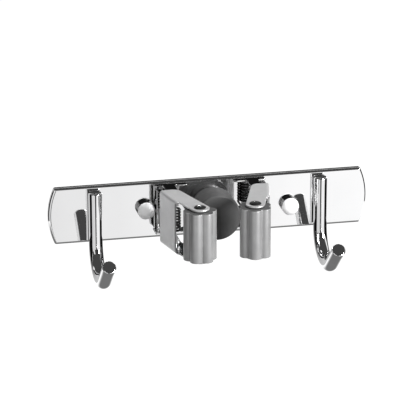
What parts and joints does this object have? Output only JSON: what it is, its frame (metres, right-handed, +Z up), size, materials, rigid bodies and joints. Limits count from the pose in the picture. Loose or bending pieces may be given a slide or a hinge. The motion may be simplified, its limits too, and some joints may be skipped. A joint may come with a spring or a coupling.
{
  "type": "wall mop holder rack",
  "caption": "Polished wall rack with a sprung roller clip that grips a mop handle against a rubber bumper, flanked by J hooks.",
  "frame": {"origin": "middle of the plate's wall face", "axes": "+X along the plate to the right seen from the front, +Y into the wall, +Z up"},
  "size_m": [0.23, 0.1007, 0.0669],
  "materials": {
    "polished_plate": "mirror polished stainless sheet",
    "polished_rod": "mirror polished rod",
    "polished_bracket": "mirror polished folded sheet",
    "satin_steel": "satin sheet",
    "plated_steel": "zinc plated",
    "axle_steel": "satin, slightly domed",
    "spring_steel": "bright drawn wire",
    "roller_rubber": "satin grey",
    "roller_core": "plain moulded",
    "bumper_rubber": "matte dark grey",
    "insert_brass": "turned",
    "cap_cup": "bright",
    "cap_dome": "bright"
  },
  "bodies": {
    "rack": {"back_plate": "polished_plate", "left_hook": "polished_rod", "right_hook": "polished_rod", "clip_bracket": "polished_bracket", "bracket_rivets": "plated_steel", "bumper": "bumper_rubber", "bumper_insert": "insert_brass", "bumper_screw": "plated_steel", "left_wall_screw": "plated_steel", "right_wall_screw": "plated_steel", "left_cap_base": "cap_cup", "right_cap_base": "cap_cup", "left_cap": "cap_dome", "right_cap": "cap_dome", "left_spring": "spring_steel", "right_spring": "spring_steel"},
    "left_arm_body": {"left_arm": "satin_steel", "left_hinge_pin": "plated_steel", "left_axle": "axle_steel", "left_washers": "plated_steel"},
    "left_roller_body": {"left_roller": "roller_rubber", "left_roller_core": "roller_core"},
    "right_arm_body": {"right_arm": "satin_steel", "right_hinge_pin": "plated_steel", "right_axle": "axle_steel", "right_washers": "plated_steel"},
    "right_roller_body": {"right_roller": "roller_rubber", "right_roller_core": "roller_core"}
  },
  "joints": [
    {"name": "left_arm_hinge", "type": "hinge", "parent": "rack", "child": "left_arm_body", "pos_m": [-0.031, -0.029, 0.0015], "axis": [0, 0, -1], "range_deg": [0, 25], "stiffness_Nm_per_rad": 0.35, "springref_deg": -34.38, "deforming": ["left_spring"]},
    {"name": "left_roller_spin", "type": "hinge", "parent": "left_arm_body", "child": "left_roller_body", "pos_m": [-0.01946, -0.06431, 0.0015], "axis": [0, 0, 1], "continuous": true},
    {"name": "right_arm_hinge", "type": "hinge", "parent": "rack", "child": "right_arm_body", "pos_m": [0.031, -0.029, 0.0015], "axis": [0, 0, 1], "range_deg": [0, 25], "stiffness_Nm_per_rad": 0.35, "springref_deg": -34.38, "deforming": ["right_spring"]},
    {"name": "right_roller_spin", "type": "hinge", "parent": "right_arm_body", "child": "right_roller_body", "pos_m": [0.01946, -0.06431, 0.0015], "axis": [0, 0, 1], "continuous": true}
  ]
}
